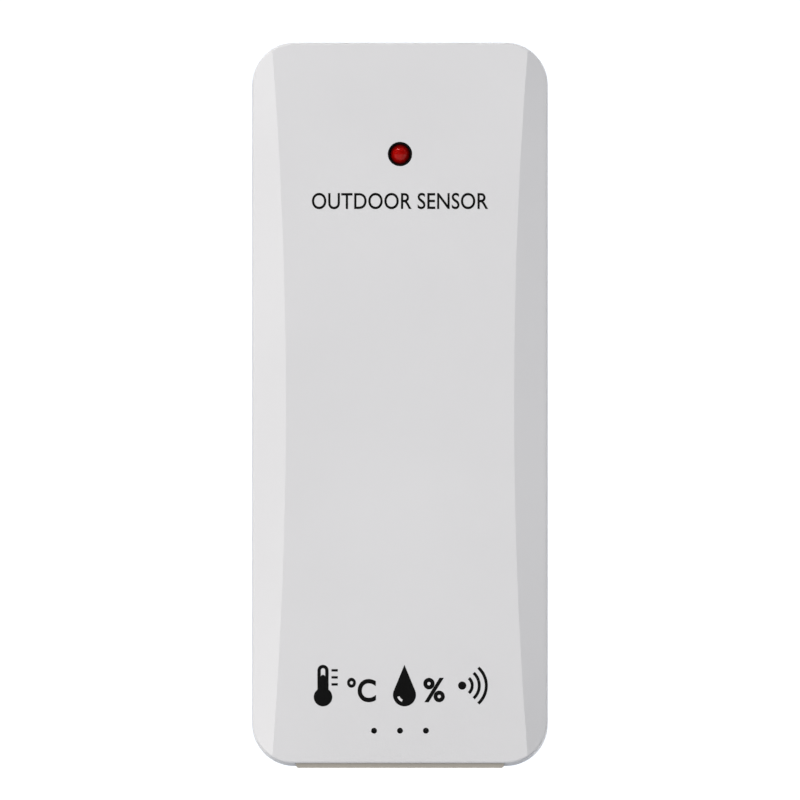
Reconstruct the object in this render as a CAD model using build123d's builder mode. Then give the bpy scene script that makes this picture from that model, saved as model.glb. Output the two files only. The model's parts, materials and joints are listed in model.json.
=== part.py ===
"""Outdoor temperature and humidity transmitter: a small upright plastic case, run on two AAA cells.

Millimetres. +Z is up, the front faces -Y and +X is to the right seen from the front. The origin
lies under the middle of the case, on the surface that the folded stand rests on.
"""

import os

from build123d import *

os.makedirs("parts", exist_ok=True)

# Case, overall
case_width = 40.0
case_depth = 20.0
case_top = 98.1  # top of the case above the surface it stands on
shell_bottom = 0.25  # the shells clear that surface by this much
cover_depth = 8.0  # depth of the front cover, up to the parting line
corner_radius = 5.7
wall = 1.8
cover_draft = 0.15  # the cover's front outline is smaller by this much at the sides and top
case_draft = 0.2  # the back outline is smaller by this much all round
cover_rise = 0.38  # the cover's lower edge rises this much from the parting line to the front
front_edge_round = 0.3
back_edge_round = 1.2

# Faceted sides of the front cover
ridge_inset_waist = 4.6  # from the ridge to the side of the case, at half height
ridge_inset_end = 2.67  # the same at the top and bottom
facet_drop = 1.35  # depth of the facet, measured facet_overrun outside the case's side
facet_overrun = 0.6
cutter_margin = 2.0  # how far a cutting shape runs past what it cuts

# Parting line: a lip on the back case enters a groove in the cover
lip_thickness = 0.8
lip_height = 1.1
lip_gap = 0.1
seam_depth = 0.3  # a fine groove round the outside, where the cover meets the back case
seam_width = 0.25

# Folding stand under the case
stand_width = 28.1  # of its front lip
stand_step = 0.2  # the plate and the barrel are narrower than the lip, at each side
stand_side_gap = 0.05
stand_thickness = 1.5
stand_gap = 0.3
stand_pivot_inset = 2.4  # from the back face to the hinge
stand_pin_radius = 0.7
stand_pin_length = 1.8
stand_front_inset = 0.25
stand_lip_thickness = 0.61
stand_end_bevel = 0.25
stand_relief_depth = 0.6
stand_relief_count = 3
stand_rib = 1.6
pin_clearance = 0.05  # radial, in both hinges

# Status light
light_drop = 15.2  # below the top of the case
lens_radius = 1.4
lens_recess = 0.1  # from the front face to the tip of the lens
lens_flange_step = 0.35
lens_flange_height = 0.9
sleeve_wall = 0.18
sleeve_recess = 0.3
slip_gap = 0.02
light_hole_gap = 0.05
light_collar_width = 0.8
light_collar_height = 1.0
light_lead_pitch = 2.54

# Air holes in the front, in a row
vent_radius = 0.4
vent_pitch = 3.5
vent_count = 3
vent_rise = 1.42  # above the cover's inner floor

# Screws that close the case, driven from the back
screw_inset = 3.6  # from the inner side wall to the screw
lower_screw_rise = 4.4  # above the back case's floor
upper_screw_drop = 7.6  # below the top of the case
screw_shank_radius = 1.0
screw_pilot_radius = 0.85
screw_head_radius = 1.9
screw_head_height = 1.4
screw_shank_length = 10.0
screw_seat_depth = 6.6  # from the back face to the seat under the head
screw_head_gap = 0.4
screw_shank_gap = 0.15
screw_slot_depth = 0.7
screw_slot_width = 0.5
screw_slot_arm = 1.1
screw_head_round = 0.5
boss_wall = 1.6
boss_gap = 0.1  # each boss stops this far from the parting line

# Main board
board_thickness = 1.0
board_setback = 5.5  # from the front face to the rear face of the board
board_side_gap = 1.4
board_corner_radius = 0.5
board_end_gap = 0.5
board_screw_inset = 2.0
board_screw_rise = 7.4
board_screw_radius = 0.9
board_screw_pilot = 0.75
board_screw_length = 3.2
board_screw_head_radius = 1.7
board_screw_head_height = 1.1
board_post_radius = 2.2
lead_radius = 0.25
lead_hole_gap = 0.12
lead_end = 0.25  # how far a lead stands out of the board

# Cells, AAA size
cell_radius = 5.25
cell_length = 44.5
cell_nub_radius = 1.9
cell_nub_height = 1.0
cell_edge_round = 0.6
small_edge_round = 0.6  # on the small cans and cases
cell_pitch = 11.0
cell_gap = 0.15
cell_side_gap = 0.55
cell_door_gap = 0.25
plate_thickness = 0.3
spring_length = 4.7
spring_base_radius = 3.4
spring_tip_radius = 2.3
spring_wire = 0.6
tail_width = 1.6
tail_gap = 0.3

# Battery bay, and the switch bay above it
bay_bottom = 14.6
bay_wall = 1.2
bay_floor = 1.1
bay_rib_width = 1.6
bay_rib_height = 2.1
switch_bay_height = 6.8
switch_bay_floor = 1.2
switch_bay_depth = 8.5  # from the back face to the switch bay's floor
flange_wall = 1.8
flange_depth = 2.7

# Battery door
door_thickness = 2.0
door_overlap_side = 1.3
door_overlap_top = 1.2
door_pivot_drop = 0.7  # the hinge lies this far below the battery bay's floor
door_gap = 0.25
door_seat_gap = 0.2
door_pin_radius = 0.5
door_pin_length = 1.2
door_pin_end_gap = 0.2
latch_width = 7.0
latch_reach = 3.5
latch_thickness = 0.8
latch_drop = 1.4  # below the door's top edge
latch_nib = 0.3
latch_nib_length = 0.8
door_relief_depth = 0.6  # shallow pockets in the door's inner face leave ribs between them
door_relief_columns = 2
door_relief_rows = 4
door_rib = 1.2
grip_count = 5
grip_pitch = 1.6
grip_width = 8.0
grip_depth = 0.4
grip_groove = 0.7
grip_inset = 3.0
arrow_width = 4.0  # a sunk arrow under the grip grooves points to the latch
arrow_height = 2.4
arrow_depth = 0.3
arrow_gap = 1.6
notch_width = 10.0
notch_height = 2.8
notch_depth = 1.2

# Keyhole for hanging
keyhole_drop = 16.1  # from the top of the case to the middle of the round entry
keyhole_radius = 4.0
keyhole_slot_radius = 2.0
keyhole_travel = 7.0
pocket_gap = 1.2
pocket_depth = 4.6
pocket_wall = 1.2

# Switches behind the battery door
switch_offset = 5.5  # each switch stands this far from the middle
switch_height = 3.5
switch_well = 1.4
button_body_size = 6.0
button_pin_inset = 1.0
button_radius = 1.7
button_proud = 1.4  # above the switch bay's floor
button_travel = 0.4
button_well_gap = 0.3
button_bevel = 0.3
switch_bevel = 0.5
slider_body_width = 9.0
slider_body_height = 3.6
slider_width = 2.0
slider_height = 1.6
slider_travel = 4.0
slider_proud = 0.9
slider_gap = 0.3
slider_bevel = 0.2
slider_pin_pitch = 2.54
window_gap = 0.3

# Radio module, standing behind the main board
radio_width = 11.0
radio_height = 12.0
radio_thickness = 0.8
radio_offset = -7.5
radio_top_gap = 1.0
radio_standoff = 2.6
radio_pin_count = 4
radio_pin_pitch = 2.54
radio_pin_inset = 1.4
radio_chip_size = (4.0, 1.4, 5.0)
radio_crystal_size = (5.0, 1.2, 3.2)
radio_part_offset = 2.6  # its chip and crystal stand this far to each side
radio_part_rise = 1.0
coil_radius = 2.5
coil_wire = 0.6
coil_length = 16.0
coil_rise = 4.1  # from the board's top edge to the coil's axis
coil_setback = 8.5  # from the front face to the coil's axis

# Loose parts on the main board
capacitor_radius = 2.5
capacitor_height = 7.0
capacitor_offset = 9.5
capacitor_drop = 7.0
capacitor_pitch = 2.0
capacitor_neck = 1.0  # from the board to the rolled neck
chip_size = (6.0, 1.5, 9.9)
chip_offset = (-4.0, 36.0)  # from the middle and from the board's lower edge
chip_standoff = 0.1
chip_pin_pitch = 1.27
chip_pin_count = 7
chip_pin_width = 0.4
chip_pin_thickness = 0.2
chip_pin_reach = 1.0
chip_bevel = 0.2
clock_radius = 1.0
clock_length = 6.0
clock_offset = (4.5, 38.0)
small_part_size = (1.6, 0.5, 0.8)
small_part_gap = 0.02
resistor_places = ((4.0, 26.0), (4.0, 29.0), (8.0, 26.0), (8.0, 29.0), (-13.0, 52.0), (-10.0, 52.0))
ceramic_places = ((-11.0, 30.0), (-11.0, 33.0), (9.5, 45.0), (9.5, 48.0), (3.0, 56.0), (-3.0, 62.0))

# Air temperature and humidity sensing, behind the air holes
humidity_size = (7.5, 2.4, 7.4)
humidity_setback = 2.4  # from the front face
humidity_grille_bars = 4
humidity_grille_depth = 0.4
humidity_grille_margin = 1.0
sensor_floor_gap = 0.4
humidity_lead_pitch = 2.54
thermistor_radius = 1.0
thermistor_offset = 8.0
thermistor_lead_pitch = 1.2
thermistor_taper = 5.0  # degrees
lead_bend = 0.8
lead_into_board = 1.6

# Planes and levels worked out from the sizes above
half_width = case_width / 2
front_y = -case_depth / 2
back_y = case_depth / 2
parting_y = front_y + cover_depth
shell_height = case_top - shell_bottom
shell_mid = shell_bottom + shell_height / 2
face_bottom = shell_bottom + cover_rise
inner_front_y = front_y + wall
inner_back_y = back_y - wall
inner_half = half_width - wall
inner_top = case_top - wall
inner_radius = corner_radius - wall

pivot_z = stand_thickness
pivot_y = back_y - stand_pivot_inset
stand_lip_half = stand_width / 2
stand_half = stand_lip_half - stand_step
cover_recess_half = stand_lip_half + stand_side_gap
case_recess_half = stand_half + stand_side_gap
recess_top = stand_thickness + stand_gap
hinge_recess_top = 2 * stand_thickness + stand_gap
cover_floor = recess_top + wall
case_floor = hinge_recess_top + wall

screw_x = inner_half - screw_inset
lower_screw_z = case_floor + lower_screw_rise
upper_screw_z = case_top - upper_screw_drop
screw_places = [(x, z) for x in (-screw_x, screw_x) for z in (lower_screw_z, upper_screw_z)]
front_boss_radius = screw_shank_radius + boss_wall
head_pocket_radius = screw_head_radius + screw_head_gap
back_boss_radius = head_pocket_radius + boss_wall - lip_thickness / 2
screw_seat_y = back_y - screw_seat_depth

board_back_y = front_y + board_setback
board_front_y = board_back_y - board_thickness
board_half = inner_half - board_side_gap
board_bottom = lower_screw_z + front_boss_radius + board_end_gap
board_top = upper_screw_z - front_boss_radius - board_end_gap
board_screw_x = board_half - board_screw_inset
board_screw_places = [
    (x, z)
    for x in (-board_screw_x, board_screw_x)
    for z in (board_bottom + board_screw_rise, board_top - board_screw_rise)
]

door_back_y = back_y - door_thickness
ledge_y = door_back_y - door_seat_gap
cell_y = door_back_y - door_seat_gap - cell_door_gap - cell_radius
cell_x = cell_pitch / 2
bay_floor_y = cell_y - cell_radius - cell_gap
bay_half = cell_x + cell_radius + cell_side_gap
bay_top = bay_bottom + 2 * plate_thickness + spring_length + cell_length
switch_bay_bottom = bay_top + bay_wall
switch_bay_top = switch_bay_bottom + switch_bay_height
switch_bay_y = back_y - switch_bay_depth
switch_z = (switch_bay_bottom + switch_bay_top) / 2

door_half = bay_half + door_overlap_side
door_top = switch_bay_top + door_overlap_top
door_pivot_y = back_y - door_thickness / 2
door_pivot_z = bay_bottom - door_pivot_drop
door_end_radius = door_thickness / 2
opening_half = door_half + door_gap
opening_bottom = door_pivot_z - door_end_radius - door_gap
opening_top = door_top + door_gap
flange_half = opening_half + flange_wall

keyhole_z = case_top - keyhole_drop
pocket_half = keyhole_radius + pocket_gap
pocket_bottom = keyhole_z - keyhole_radius - pocket_gap
pocket_top = keyhole_z + keyhole_travel + keyhole_slot_radius + pocket_gap
pocket_front_y = inner_back_y - pocket_depth

light_z = case_top - light_drop
sleeve_inner = lens_radius + slip_gap
sleeve_outer = sleeve_inner + sleeve_wall
light_hole_radius = sleeve_outer + light_hole_gap
lens_flange_radius = lens_radius + lens_flange_step
lens_base_y = board_front_y
lens_tip_y = front_y + lens_recess

vent_z = cover_floor + vent_rise

switch_top_y = board_back_y + switch_height
well_floor_y = switch_top_y - switch_well
slider_slot = slider_width + slider_travel + 2 * slider_gap
slider_slot_half = slider_height / 2 + 2 * pin_clearance
slider_rest_x = -switch_offset - slider_travel / 2

radio_front_y = board_back_y + radio_standoff
radio_top = board_top - radio_top_gap
radio_mid = radio_top - radio_height / 2
radio_back_y = radio_front_y + radio_thickness
coil_y = front_y + coil_setback
coil_z = board_top + coil_rise

capacitor_z = board_top - capacitor_drop
humidity_bottom = cover_floor + sensor_floor_gap
humidity_top = humidity_bottom + humidity_size[2]
humidity_front_y = front_y + humidity_setback
humidity_mid_y = humidity_front_y + humidity_size[1] / 2
thermistor_z = vent_z + thermistor_radius
sensor_lead_z = board_bottom + lead_into_board

tail_z = bay_top - plate_thickness / 2
plate_half = cell_radius - cell_side_gap

# Every lead and pin that goes through the main board, as places in x and z
radio_pin_z = radio_top - radio_height + radio_pin_inset
radio_pin_places = [
    (radio_offset + (i - (radio_pin_count - 1) / 2) * radio_pin_pitch, radio_pin_z)
    for i in range(radio_pin_count)
]
capacitor_places = [(capacitor_offset + side * capacitor_pitch / 2, capacitor_z) for side in (-1, 1)]
light_places = [(side * light_lead_pitch / 2, light_z) for side in (-1, 1)]
humidity_places = [(side * humidity_lead_pitch / 2, sensor_lead_z) for side in (-1, 1)]
thermistor_places = [
    (thermistor_offset + side * thermistor_lead_pitch / 2, sensor_lead_z) for side in (-1, 1)
]
button_pin_reach = button_body_size / 2 - button_pin_inset
button_pin_places = [
    (switch_offset + i * button_pin_reach, switch_z + j * button_pin_reach) for i in (-1, 1) for j in (-1, 1)
]
slider_pin_places = [(-switch_offset + i * slider_pin_pitch, switch_z) for i in (-1, 0, 1)]
board_holes = (
    radio_pin_places
    + capacitor_places
    + light_places
    + humidity_places
    + thermistor_places
    + button_pin_places
    + slider_pin_places
)


def plane_at(y):
    """The upright plane at depth y: sketches on it read as seen from the front."""
    return Plane.XZ.offset(-y)


def span(x, y, z, mode=Mode.ADD):
    """A block between two limits along each axis, joined to or cut from the part."""
    with Locations(((x[0] + x[1]) / 2, (y[0] + y[1]) / 2, (z[0] + z[1]) / 2)):
        Box(x[1] - x[0], y[1] - y[0], z[1] - z[0], mode=mode)


def rods(places, radius, y, mode=Mode.ADD):
    """Round rods or holes along Y, from y[0] back to y[1], one at each place in x and z."""
    with BuildSketch(plane_at(y[1])) as ends:
        with Locations(places):
            Circle(radius)
    extrude(ends.sketch, amount=y[1] - y[0], mode=mode)


def cross_rod(y, z, radius, reach, mode=Mode.ADD):
    """A round bar or bore along X through (y, z), reaching as far to the left as to the right."""
    with BuildSketch(Plane.YZ.offset(-reach)) as end:
        with Locations((y, z)):
            Circle(radius)
    extrude(end.sketch, amount=2 * reach, mode=mode)


def outline(half, bottom, top, radius, mode=Mode.ADD):
    """A rounded outline of the case in a sketch, from its half width, two ends and corner radius."""
    with Locations((0, (bottom + top) / 2)):
        RectangleRounded(2 * half, top - bottom, radius, mode=mode)


def save(part, name):
    """Label the finished piece and write its STEP file."""
    part.part.label = name
    export_step(part.part, f"parts/{name}.step")


# Front cover: drafted shell whose flat panel narrows to a waist between two sloping facets
ridge_half_height = shell_height / 2 + cutter_margin
ridge_sagitta = (ridge_inset_waist - ridge_inset_end) * (ridge_half_height / (shell_height / 2)) ** 2
waist_x = half_width - ridge_inset_waist

with BuildPart() as front_cover:
    with BuildSketch(plane_at(parting_y)):
        outline(half_width, shell_bottom, case_top, corner_radius)
    with BuildSketch(plane_at(front_y)):
        outline(
            half_width - cover_draft,
            face_bottom,
            case_top - cover_draft,
            corner_radius - cover_draft,
        )
    loft()

    # each facet is a ruled surface, from the curved ridge on the face to a straight line outside
    for side in (-1, 1):
        with BuildLine(plane_at(front_y)) as ridge:
            ThreePointArc(
                (side * (waist_x + ridge_sagitta), shell_mid - ridge_half_height),
                (side * waist_x, shell_mid),
                (side * (waist_x + ridge_sagitta), shell_mid + ridge_half_height),
            )
        with BuildLine(plane_at(front_y + facet_drop)) as rim:
            rim_x = side * (half_width + facet_overrun)
            Line((rim_x, shell_mid - ridge_half_height), (rim_x, shell_mid + ridge_half_height))
        facet = Face.make_surface_from_curves(ridge.edges()[0], rim.edges()[0])
        extrude(facet, amount=facet_drop + cutter_margin, dir=(0, -1, 0), mode=Mode.SUBTRACT)

    # the outline is rounded, the two ridges stay crisp
    rim_side_x = (waist_x + half_width) / 2
    front_limit = front_y + facet_drop + front_edge_round
    front_edges = front_cover.edges().filter_by(lambda e: e.center().Y < front_limit)
    rim_edges = front_edges.filter_by(lambda e: e.length < case_top / 2 or abs(e.center().X) > rim_side_x)
    fillet(rim_edges, front_edge_round)

    # the seam: a step round the cover's rear edge
    with BuildSketch(plane_at(parting_y)):
        outline(
            half_width + cutter_margin,
            shell_bottom - cutter_margin,
            case_top + cutter_margin,
            corner_radius,
        )
        outline(
            half_width - seam_depth,
            shell_bottom + seam_depth,
            case_top - seam_depth,
            corner_radius - seam_depth,
            mode=Mode.SUBTRACT,
        )
    extrude(amount=seam_width, mode=Mode.SUBTRACT)

    # inside: the cavity, the groove for the back case's lip and the recess for the stand
    with BuildSketch(plane_at(parting_y)):
        outline(inner_half, cover_floor, inner_top, inner_radius)
    extrude(amount=cover_depth - wall, mode=Mode.SUBTRACT)
    groove = lip_thickness + lip_gap
    with BuildSketch(plane_at(parting_y)):
        outline(inner_half + groove, cover_floor - groove, inner_top + groove, inner_radius + groove)
    extrude(amount=lip_height + lip_gap, mode=Mode.SUBTRACT)
    span(
        (-cover_recess_half, cover_recess_half),
        (inner_front_y, parting_y + cutter_margin),
        (-cutter_margin, recess_top),
        mode=Mode.SUBTRACT,
    )
    span(
        (-cover_recess_half, cover_recess_half),
        (front_y - cutter_margin, parting_y + cutter_margin),
        (-cutter_margin, face_bottom),
        mode=Mode.SUBTRACT,
    )

    # bosses for the case screws, posts for the board and a collar round the light's hole
    rods(screw_places, front_boss_radius, (inner_front_y, parting_y - boss_gap))
    rods(screw_places, screw_pilot_radius, (inner_front_y, parting_y), mode=Mode.SUBTRACT)
    rods(board_screw_places, board_post_radius, (inner_front_y, board_front_y))
    rods(board_screw_places, board_screw_pilot, (inner_front_y, board_front_y), mode=Mode.SUBTRACT)
    collar_radius = light_hole_radius + light_collar_width
    rods([(0, light_z)], collar_radius, (inner_front_y, inner_front_y + light_collar_height))
    light_hole = (front_y - cutter_margin, board_front_y)
    rods([(0, light_z)], light_hole_radius, light_hole, mode=Mode.SUBTRACT)
    vent_places = [((i - (vent_count - 1) / 2) * vent_pitch, vent_z) for i in range(vent_count)]
    vent_span = (front_y - cutter_margin, inner_front_y + cutter_margin)
    rods(vent_places, vent_radius, vent_span, mode=Mode.SUBTRACT)
save(front_cover, "front_cover")

# Back case: outer shell with the battery bay, the switch bay, the hanging keyhole and the hinges
with BuildPart() as back_case:
    with BuildSketch(plane_at(parting_y)):
        outline(half_width, shell_bottom, case_top, corner_radius)
    with BuildSketch(plane_at(back_y)):
        outline(
            half_width - case_draft,
            shell_bottom + case_draft,
            case_top - case_draft,
            corner_radius - case_draft,
        )
    loft()
    fillet(back_case.faces().sort_by(Axis.Y)[-1].outer_wire().edges(), back_edge_round)
    with BuildSketch(plane_at(inner_back_y)):
        outline(inner_half, case_floor, inner_top, inner_radius)
    extrude(amount=inner_back_y - parting_y, mode=Mode.SUBTRACT)

    # the lip that enters the cover
    lip = lip_thickness
    with BuildSketch(plane_at(parting_y)):
        outline(inner_half + lip, cover_floor - lip, inner_top + lip, inner_radius + lip)
        outline(inner_half, cover_floor, inner_top, inner_radius, mode=Mode.SUBTRACT)
    extrude(amount=lip_height)

    # the bays' walls, with a flange round the door opening
    bay_wall_half = bay_half + bay_wall
    span(
        (-bay_wall_half, bay_wall_half),
        (bay_floor_y - bay_floor, inner_back_y),
        (bay_bottom - bay_wall, switch_bay_bottom),
    )
    span(
        (-bay_wall_half, bay_wall_half),
        (switch_bay_y - switch_bay_floor, inner_back_y),
        (switch_bay_bottom, switch_bay_top + bay_wall),
    )
    span(
        (-flange_half, flange_half),
        (inner_back_y - flange_depth, inner_back_y),
        (opening_bottom - bay_wall, opening_top + bay_wall),
    )
    rods(screw_places, back_boss_radius, (parting_y + boss_gap, inner_back_y))
    span(
        (-pocket_half - pocket_wall, pocket_half + pocket_wall),
        (pocket_front_y - pocket_wall, inner_back_y),
        (pocket_bottom - pocket_wall, pocket_top + pocket_wall),
    )

    # the bays themselves, and the rebate that the door lies in
    span((-bay_half, bay_half), (bay_floor_y, back_y), (bay_bottom, bay_top), mode=Mode.SUBTRACT)
    span(
        (-bay_half, bay_half),
        (switch_bay_y, back_y),
        (switch_bay_bottom, switch_bay_top),
        mode=Mode.SUBTRACT,
    )
    span(
        (-opening_half, opening_half),
        (ledge_y, back_y + cutter_margin),
        (opening_bottom, opening_top),
        mode=Mode.SUBTRACT,
    )
    span(
        (-bay_rib_width / 2, bay_rib_width / 2),
        (bay_floor_y, bay_floor_y + bay_rib_height),
        (bay_bottom + 2 * bay_rib_width, bay_top - 2 * bay_rib_width),
    )
    for side in (-1, 1):
        span(
            (side * cell_x - tail_width / 2 - tail_gap, side * cell_x + tail_width / 2 + tail_gap),
            (bay_floor_y - bay_floor - cutter_margin, bay_floor_y),
            (bay_top - plate_thickness - tail_gap, bay_top),
            mode=Mode.SUBTRACT,
        )

    # windows for the button and the slider
    switch_floor = (switch_bay_y - switch_bay_floor, switch_bay_y)
    rods([(switch_offset, switch_z)], button_radius + window_gap, switch_floor, mode=Mode.SUBTRACT)
    window_half = slider_slot / 2
    span(
        (-switch_offset - window_half, -switch_offset + window_half),
        switch_floor,
        (switch_z - slider_height / 2 - window_gap, switch_z + slider_height / 2 + window_gap),
        mode=Mode.SUBTRACT,
    )

    # finger notch above the door
    span(
        (-notch_width / 2, notch_width / 2),
        (back_y - notch_depth, back_y + cutter_margin),
        (opening_top - door_gap, opening_top + notch_height),
        mode=Mode.SUBTRACT,
    )

    # screw pockets from the back, and the shanks' holes
    rods(screw_places, head_pocket_radius, (screw_seat_y, back_y + cutter_margin), mode=Mode.SUBTRACT)
    shank_hole_radius = screw_shank_radius + screw_shank_gap
    rods(screw_places, shank_hole_radius, (parting_y, screw_seat_y), mode=Mode.SUBTRACT)

    # keyhole: a round entry for the wall screw's head and a narrow slot above it for the shank
    span(
        (-pocket_half, pocket_half),
        (pocket_front_y, inner_back_y),
        (pocket_bottom, pocket_top),
        mode=Mode.SUBTRACT,
    )
    slot_end = keyhole_z + keyhole_travel
    with BuildSketch(plane_at(back_y + cutter_margin)):
        with Locations((0, keyhole_z)):
            Circle(keyhole_radius)
        with Locations((0, (keyhole_z + slot_end) / 2)):
            Rectangle(2 * keyhole_slot_radius, keyhole_travel)
        with Locations((0, slot_end)):
            Circle(keyhole_slot_radius)
    extrude(amount=wall + cutter_margin, mode=Mode.SUBTRACT)

    # the stand's recess opens downwards and to the back, with a blind socket at each side
    span(
        (-case_recess_half, case_recess_half),
        (parting_y - lip_height - cutter_margin, back_y + cutter_margin),
        (-cutter_margin, recess_top),
        mode=Mode.SUBTRACT,
    )
    span(
        (-case_recess_half, case_recess_half),
        (pivot_y - stand_thickness - stand_gap, back_y + cutter_margin),
        (-cutter_margin, hinge_recess_top),
        mode=Mode.SUBTRACT,
    )
    stand_socket = stand_pin_radius + pin_clearance
    stand_socket_reach = stand_half + stand_pin_length + stand_gap / 2
    cross_rod(pivot_y, pivot_z, stand_socket, stand_socket_reach, mode=Mode.SUBTRACT)
    door_socket = door_pin_radius + pin_clearance
    door_socket_reach = door_half + door_pin_length + door_pin_end_gap
    cross_rod(door_pivot_y, door_pivot_z, door_socket, door_socket_reach, mode=Mode.SUBTRACT)
save(back_case, "back_case")

# Battery door: a plate with a round lower end, two hinge pins, a latch arm and grip grooves
with BuildPart() as battery_door:
    span((-door_half, door_half), (door_back_y, back_y), (door_pivot_z, door_top))
    cross_rod(door_pivot_y, door_pivot_z, door_end_radius, door_half)
    cross_rod(door_pivot_y, door_pivot_z, door_pin_radius, door_half + door_pin_length)
    latch_top = door_top - latch_drop - latch_nib
    latch_half = latch_width / 2
    span(
        (-latch_half, latch_half),
        (door_back_y - latch_reach, door_back_y),
        (latch_top - latch_thickness, latch_top),
    )
    span(
        (-latch_half, latch_half),
        (door_back_y - latch_reach, door_back_y - latch_reach + latch_nib_length),
        (latch_top, latch_top + latch_nib),
    )
    for i in range(grip_count):
        groove_top = door_top - grip_inset - i * grip_pitch
        span(
            (-grip_width / 2, grip_width / 2),
            (back_y - grip_depth, back_y + cutter_margin),
            (groove_top - grip_groove, groove_top),
            mode=Mode.SUBTRACT,
        )

    arrow_base = groove_top - grip_groove - arrow_gap - arrow_height
    with BuildSketch(plane_at(back_y)):
        with BuildLine():
            Polyline(
                (-arrow_width / 2, arrow_base),
                (arrow_width / 2, arrow_base),
                (0, arrow_base + arrow_height),
                close=True,
            )
        make_face()
    extrude(amount=arrow_depth, mode=Mode.SUBTRACT)

    # pockets in the inner face, between the hinge and the latch arm
    relief_bottom = door_pivot_z + door_end_radius + door_rib
    relief_top = latch_top - latch_thickness - door_rib
    relief_width = (2 * bay_half - door_rib) / door_relief_columns
    relief_height = (relief_top - relief_bottom) / door_relief_rows
    for column in range(door_relief_columns):
        for row in range(door_relief_rows):
            relief_x = -bay_half + door_rib + column * relief_width
            relief_z = relief_bottom + row * relief_height
            span(
                (relief_x, relief_x + relief_width - door_rib),
                (door_back_y - cutter_margin, door_back_y + door_relief_depth),
                (relief_z, relief_z + relief_height - door_rib),
                mode=Mode.SUBTRACT,
            )
save(battery_door, "battery_door")

# Table stand: a flap under the case on two integral pins, with a thin lip under the cover's edge
with BuildPart() as table_stand:
    stand_front_y = front_y + stand_front_inset
    plate_front_y = inner_front_y + stand_gap
    for half, first_y, last_y, top in (
        (stand_half, plate_front_y, pivot_y, stand_thickness),
        (stand_lip_half, stand_front_y, plate_front_y, stand_lip_thickness),
    ):
        with BuildSketch(plane_at(last_y)) as section:
            with Locations((0, top / 2)):
                Rectangle(2 * half, top)
            chamfer(section.vertices().group_by(Axis.Y)[0], stand_end_bevel)
        extrude(section.sketch, amount=last_y - first_y)
    cross_rod(pivot_y, pivot_z, stand_thickness, stand_half)
    cross_rod(pivot_y, pivot_z, stand_pin_radius, stand_half + stand_pin_length)
    relief_pitch = (2 * stand_half - stand_rib) / stand_relief_count
    for i in range(stand_relief_count):
        relief_start = -stand_half + stand_rib + i * relief_pitch
        span(
            (relief_start, relief_start + relief_pitch - stand_rib),
            (plate_front_y + stand_rib, pivot_y - stand_thickness - stand_rib),
            (stand_thickness - stand_relief_depth, stand_thickness + cutter_margin),
            mode=Mode.SUBTRACT,
        )
save(table_stand, "table_stand")

# Case screws: four self-tapping screws with cross-slotted pan heads, heads towards the back
with BuildPart() as case_screws:
    head_back_y = screw_seat_y + screw_head_height
    rods(screw_places, screw_head_radius, (screw_seat_y, head_back_y))
    fillet(case_screws.edges().group_by(Axis.Y)[-1], screw_head_round)
    rods(screw_places, screw_shank_radius, (screw_seat_y - screw_shank_length, screw_seat_y))
    cross_arms = ((screw_slot_arm, screw_slot_width / 2), (screw_slot_width / 2, screw_slot_arm))
    for x, z in screw_places:
        for half_x, half_z in cross_arms:
            span(
                (x - half_x, x + half_x),
                (head_back_y - screw_slot_depth, head_back_y + cutter_margin),
                (z - half_z, z + half_z),
                mode=Mode.SUBTRACT,
            )
save(case_screws, "case_screws")

# Main board, with its holes for screws, leads and the two contact tails
with BuildPart() as main_board:
    span((-board_half, board_half), (board_front_y, board_back_y), (board_bottom, board_top))
    fillet(main_board.edges().filter_by(Axis.Y), board_corner_radius)
    through = (board_front_y - cutter_margin, board_back_y + cutter_margin)
    rods(board_screw_places, board_screw_radius + screw_shank_gap, through, mode=Mode.SUBTRACT)
    rods(board_holes, lead_radius + lead_hole_gap, through, mode=Mode.SUBTRACT)
    for side in (-1, 1):
        span(
            (side * cell_x - tail_width / 2 - tail_gap, side * cell_x + tail_width / 2 + tail_gap),
            through,
            (tail_z - plate_thickness, tail_z + plate_thickness),
            mode=Mode.SUBTRACT,
        )
save(main_board, "main_board")

with BuildPart() as board_screws:
    board_screw_head = (board_back_y, board_back_y + board_screw_head_height)
    rods(board_screw_places, board_screw_head_radius, board_screw_head)
    board_screw_tip_y = max(board_back_y - board_screw_length, inner_front_y)
    rods(board_screw_places, board_screw_radius, (board_screw_tip_y, board_back_y))
save(board_screws, "board_screws")

# Status light: a flanged lens with a round tip, a black sleeve round it and two leads
with BuildPart() as status_led:
    rods([(0, light_z)], lens_flange_radius, (lens_base_y - lens_flange_height, lens_base_y))
    rods([(0, light_z)], lens_radius, (lens_tip_y + lens_radius, lens_base_y))
    with Locations((0, lens_tip_y + lens_radius, light_z)):
        Sphere(lens_radius)
save(status_led, "status_led")

with BuildPart() as led_sleeve:
    sleeve_span = (front_y + sleeve_recess, lens_base_y - lens_flange_height - slip_gap)
    rods([(0, light_z)], sleeve_outer, sleeve_span)
    rods([(0, light_z)], sleeve_inner, sleeve_span, mode=Mode.SUBTRACT)
save(led_sleeve, "led_sleeve")

with BuildPart() as led_leads:
    rods(light_places, lead_radius, (lens_base_y, board_back_y + lead_end))
save(led_leads, "led_leads")

# Controller chip on the front of the board, its bent pins and the clock crystal
with BuildPart() as controller_chip:
    chip_x, chip_z = chip_offset[0], board_bottom + chip_offset[1]
    chip_front_y = board_front_y - chip_standoff - chip_size[1]
    span(
        (chip_x - chip_size[0] / 2, chip_x + chip_size[0] / 2),
        (chip_front_y, board_front_y - chip_standoff),
        (chip_z - chip_size[2] / 2, chip_z + chip_size[2] / 2),
    )
    chamfer(controller_chip.faces().sort_by(Axis.Y)[0].edges(), chip_bevel)
save(controller_chip, "controller_chip")

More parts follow.
